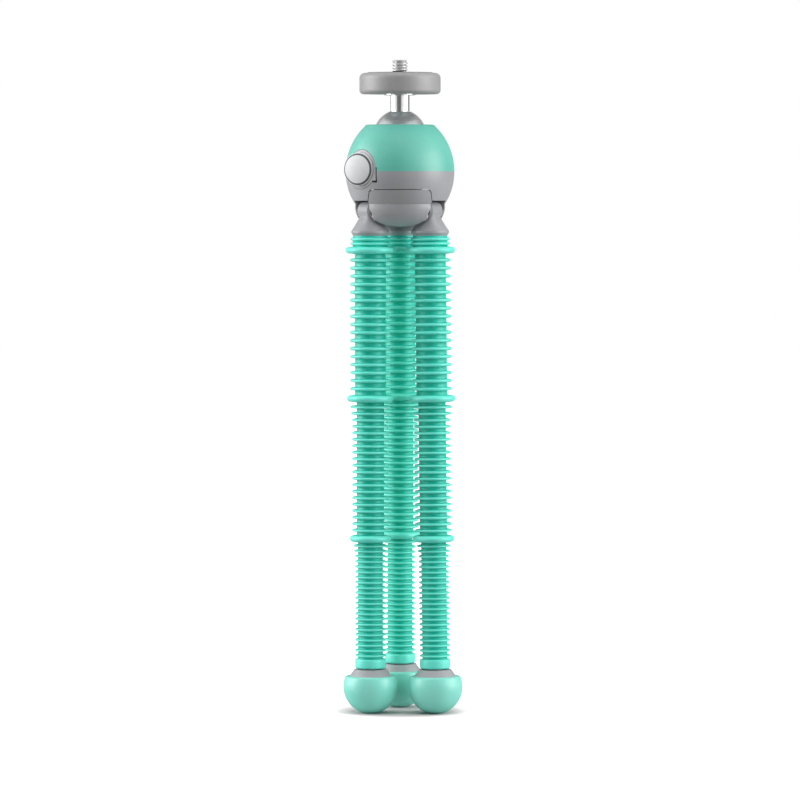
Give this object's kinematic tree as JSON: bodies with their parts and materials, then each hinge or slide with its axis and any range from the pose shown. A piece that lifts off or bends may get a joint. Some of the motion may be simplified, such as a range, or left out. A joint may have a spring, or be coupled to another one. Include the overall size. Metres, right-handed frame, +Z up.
{
  "type": "flexible leg tripod",
  "caption": "Small tripod with flexible ribbed legs that bend, ball feet, and a ball head with a push button lock and a camera screw.",
  "frame": {"origin": "on the floor, on the axis of the head, between the three feet", "axes": "+Z up along the head's axis and the camera screw, +Y away from the viewer of the picture, +X to the right"},
  "size_m": [0.0486, 0.0498, 0.2654],
  "materials": {
    "teal_shell": "soft satin teal",
    "teal_rubber": "soft satin teal",
    "grey_shell": "fine satin grey",
    "platform_grey": "fine satin grey",
    "pad_rubber": "matte",
    "black_plastic": "matte",
    "ball_metal": "satin grey",
    "bright_metal": "polished",
    "steel": "brushed"
  },
  "bodies": {
    "housing": {"upper_cover": "teal_shell", "lower_housing": "grey_shell", "leg_hub": "grey_shell", "button_bezel": "grey_shell", "ball_race": "black_plastic", "race_screws": "steel", "hub_screws": "steel", "button_spring": "steel", "brake_spring": "steel", "front_left_hinge_pin": "steel", "front_left_hinge_washers": "black_plastic", "front_right_hinge_pin": "steel", "front_right_hinge_washers": "black_plastic", "back_hinge_pin": "steel", "back_hinge_washers": "black_plastic"},
    "liner": {"ball_liner": "black_plastic"},
    "ball": {"ball": "ball_metal"},
    "platform": {"ball_stem": "bright_metal", "platform_disc": "platform_grey", "platform_pad": "pad_rubber", "camera_screw": "steel"},
    "button": {"lock_button": "bright_metal", "button_plunger": "black_plastic"},
    "brake": {"brake_shoe": "black_plastic"},
    "front_left_leg": {"front_left_knuckle": "grey_shell", "front_left_sleeve": "teal_rubber"},
    "front_left_upper_ball_link": {"front_left_upper_ball_link": "black_plastic"},
    "front_left_upper_socket_link": {"front_left_upper_socket_link": "grey_shell"},
    "front_left_middle_ball_link": {"front_left_middle_ball_link": "black_plastic"},
    "front_left_lower_socket_link": {"front_left_lower_socket_link": "grey_shell"},
    "front_left_lower_ball_link": {"front_left_lower_ball_link": "black_plastic"},
    "front_left_foot": {"front_left_foot_collar": "grey_shell", "front_left_foot_pad": "teal_rubber"},
    "front_right_leg": {"front_right_knuckle": "grey_shell", "front_right_sleeve": "teal_rubber"},
    "front_right_upper_ball_link": {"front_right_upper_ball_link": "black_plastic"},
    "front_right_upper_socket_link": {"front_right_upper_socket_link": "grey_shell"},
    "front_right_middle_ball_link": {"front_right_middle_ball_link": "black_plastic"},
    "front_right_lower_socket_link": {"front_right_lower_socket_link": "grey_shell"},
    "front_right_lower_ball_link": {"front_right_lower_ball_link": "black_plastic"},
    "front_right_foot": {"front_right_foot_collar": "grey_shell", "front_right_foot_pad": "teal_rubber"},
    "back_leg": {"back_knuckle": "grey_shell", "back_sleeve": "teal_rubber"},
    "back_upper_ball_link": {"back_upper_ball_link": "black_plastic"},
    "back_upper_socket_link": {"back_upper_socket_link": "grey_shell"},
    "back_middle_ball_link": {"back_middle_ball_link": "black_plastic"},
    "back_lower_socket_link": {"back_lower_socket_link": "grey_shell"},
    "back_lower_ball_link": {"back_lower_ball_link": "black_plastic"},
    "back_foot": {"back_foot_collar": "grey_shell", "back_foot_pad": "teal_rubber"}
  },
  "joints": [
    {"name": "ball_pan", "type": "hinge", "parent": "housing", "child": "liner", "pos_m": [0, 0, 0.2346], "axis": [0, 0, 1], "continuous": true},
    {"name": "ball_tilt", "type": "hinge", "parent": "liner", "child": "ball", "pos_m": [0, 0, 0.2346], "axis": [1, 0, 0], "range_deg": [-40, 40]},
    {"name": "platform_turn", "type": "hinge", "parent": "ball", "child": "platform", "pos_m": [0, 0, 0.2346], "axis": [0, 0, 1], "continuous": true},
    {"name": "button_press", "type": "slide", "parent": "housing", "child": "button", "axis": [0.5, 0.866, 0], "range_m": [0, 0.0018], "stiffness_N_per_m": 400, "springref_m": -0.001, "deforming": ["button_spring"]},
    {"name": "brake_drop", "type": "slide", "parent": "housing", "child": "brake", "axis": [0, 0, -1], "range_m": [0, 0.00084], "deforming": ["brake_spring"]},
    {"name": "front_left_hip", "type": "hinge", "parent": "housing", "child": "front_left_leg", "pos_m": [-0.01204, -0.00695, 0.2043], "axis": [-0.5, 0.866, 0], "range_deg": [0, 80]},
    {"name": "front_left_upper_bend", "type": "hinge", "parent": "front_left_leg", "child": "front_left_upper_ball_link", "pos_m": [-0.01204, -0.00695, 0.17252], "axis": [-0.5, 0.866, 0], "range_deg": [0, 45], "deforming": ["front_left_sleeve"]},
    {"name": "front_left_upper_sway", "type": "hinge", "parent": "front_left_upper_ball_link", "child": "front_left_upper_socket_link", "pos_m": [-0.01204, -0.00695, 0.14397], "axis": [-0.866, -0.5, 0], "range_deg": [-45, 45], "deforming": ["front_left_sleeve"]},
    {"name": "front_left_middle_bend", "type": "hinge", "parent": "front_left_upper_socket_link", "child": "front_left_middle_ball_link", "pos_m": [-0.01204, -0.00695, 0.11313], "axis": [-0.5, 0.866, 0], "range_deg": [0, 45], "deforming": ["front_left_sleeve"]},
    {"name": "front_left_middle_sway", "type": "hinge", "parent": "front_left_middle_ball_link", "child": "front_left_lower_socket_link", "pos_m": [-0.01204, -0.00695, 0.08619], "axis": [-0.866, -0.5, 0], "range_deg": [-45, 45], "deforming": ["front_left_sleeve"]},
    {"name": "front_left_lower_bend", "type": "hinge", "parent": "front_left_lower_socket_link", "child": "front_left_lower_ball_link", "pos_m": [-0.01204, -0.00695, 0.05779], "axis": [-0.5, 0.866, 0], "range_deg": [0, 45], "deforming": ["front_left_sleeve"]},
    {"name": "front_left_lower_sway", "type": "hinge", "parent": "front_left_lower_ball_link", "child": "front_left_foot", "pos_m": [-0.01204, -0.00695, 0.0341], "axis": [-0.866, -0.5, 0], "range_deg": [-45, 45], "deforming": ["front_left_sleeve"]},
    {"name": "front_right_hip", "type": "hinge", "parent": "housing", "child": "front_right_leg", "pos_m": [0.01204, -0.00695, 0.2043], "axis": [-0.5, -0.866, 0], "range_deg": [0, 80]},
    {"name": "front_right_upper_bend", "type": "hinge", "parent": "front_right_leg", "child": "front_right_upper_ball_link", "pos_m": [0.01242, -0.00717, 0.17253], "axis": [-0.5, -0.866, 0], "range_deg": [0, 45], "deforming": ["front_right_sleeve"]},
    {"name": "front_right_upper_sway", "type": "hinge", "parent": "front_right_upper_ball_link", "child": "front_right_upper_socket_link", "pos_m": [0.01277, -0.00737, 0.14397], "axis": [0.8659, -0.5, 0.014], "range_deg": [-45, 45], "deforming": ["front_right_sleeve"]},
    {"name": "front_right_middle_bend", "type": "hinge", "parent": "front_right_upper_socket_link", "child": "front_right_middle_ball_link", "pos_m": [0.01314, -0.00759, 0.11313], "axis": [-0.5, -0.866, 0], "range_deg": [0, 45], "deforming": ["front_right_sleeve"]},
    {"name": "front_right_middle_sway", "type": "hinge", "parent": "front_right_middle_ball_link", "child": "front_right_lower_socket_link", "pos_m": [0.01347, -0.00777, 0.08621], "axis": [0.8659, -0.5, 0.014], "range_deg": [-45, 45], "deforming": ["front_right_sleeve"]},
    {"name": "front_right_lower_bend", "type": "hinge", "parent": "front_right_lower_socket_link", "child": "front_right_lower_ball_link", "pos_m": [0.01381, -0.00797, 0.0578], "axis": [-0.5, -0.866, 0], "range_deg": [0, 45], "deforming": ["front_right_sleeve"]},
    {"name": "front_right_lower_sway", "type": "hinge", "parent": "front_right_lower_ball_link", "child": "front_right_foot", "pos_m": [0.0141, -0.00814, 0.03411], "axis": [0.8659, -0.5, 0.014], "range_deg": [-45, 45], "deforming": ["front_right_sleeve"]},
    {"name": "back_hip", "type": "hinge", "parent": "housing", "child": "back_leg", "pos_m": [0, 0.0139, 0.2043], "axis": [1, 0, 0], "range_deg": [0, 80]},
    {"name": "back_upper_bend", "type": "hinge", "parent": "back_leg", "child": "back_upper_ball_link", "pos_m": [0, 0.01434, 0.17253], "axis": [1, 0, 0], "range_deg": [0, 45], "deforming": ["back_sleeve"]},
    {"name": "back_upper_sway", "type": "hinge", "parent": "back_upper_ball_link", "child": "back_upper_socket_link", "pos_m": [0, 0.01474, 0.14397], "axis": [0, 0.9999, 0.014], "range_deg": [-45, 45], "deforming": ["back_sleeve"]},
    {"name": "back_middle_bend", "type": "hinge", "parent": "back_upper_socket_link", "child": "back_middle_ball_link", "pos_m": [0, 0.01517, 0.11313], "axis": [1, 0, 0], "range_deg": [0, 45], "deforming": ["back_sleeve"]},
    {"name": "back_middle_sway", "type": "hinge", "parent": "back_middle_ball_link", "child": "back_lower_socket_link", "pos_m": [0, 0.01555, 0.08621], "axis": [0, 0.9999, 0.014], "range_deg": [-45, 45], "deforming": ["back_sleeve"]},
    {"name": "back_lower_bend", "type": "hinge", "parent": "back_lower_socket_link", "child": "back_lower_ball_link", "pos_m": [0, 0.01595, 0.0578], "axis": [1, 0, 0], "range_deg": [0, 45], "deforming": ["back_sleeve"]},
    {"name": "back_lower_sway", "type": "hinge", "parent": "back_lower_ball_link", "child": "back_foot", "pos_m": [0, 0.01628, 0.03411], "axis": [0, 0.9999, 0.014], "range_deg": [-45, 45], "deforming": ["back_sleeve"]}
  ],
  "couplings": [
    {"joint": "brake_drop", "follows": "button_press", "ratio": 0.4663}
  ]
}
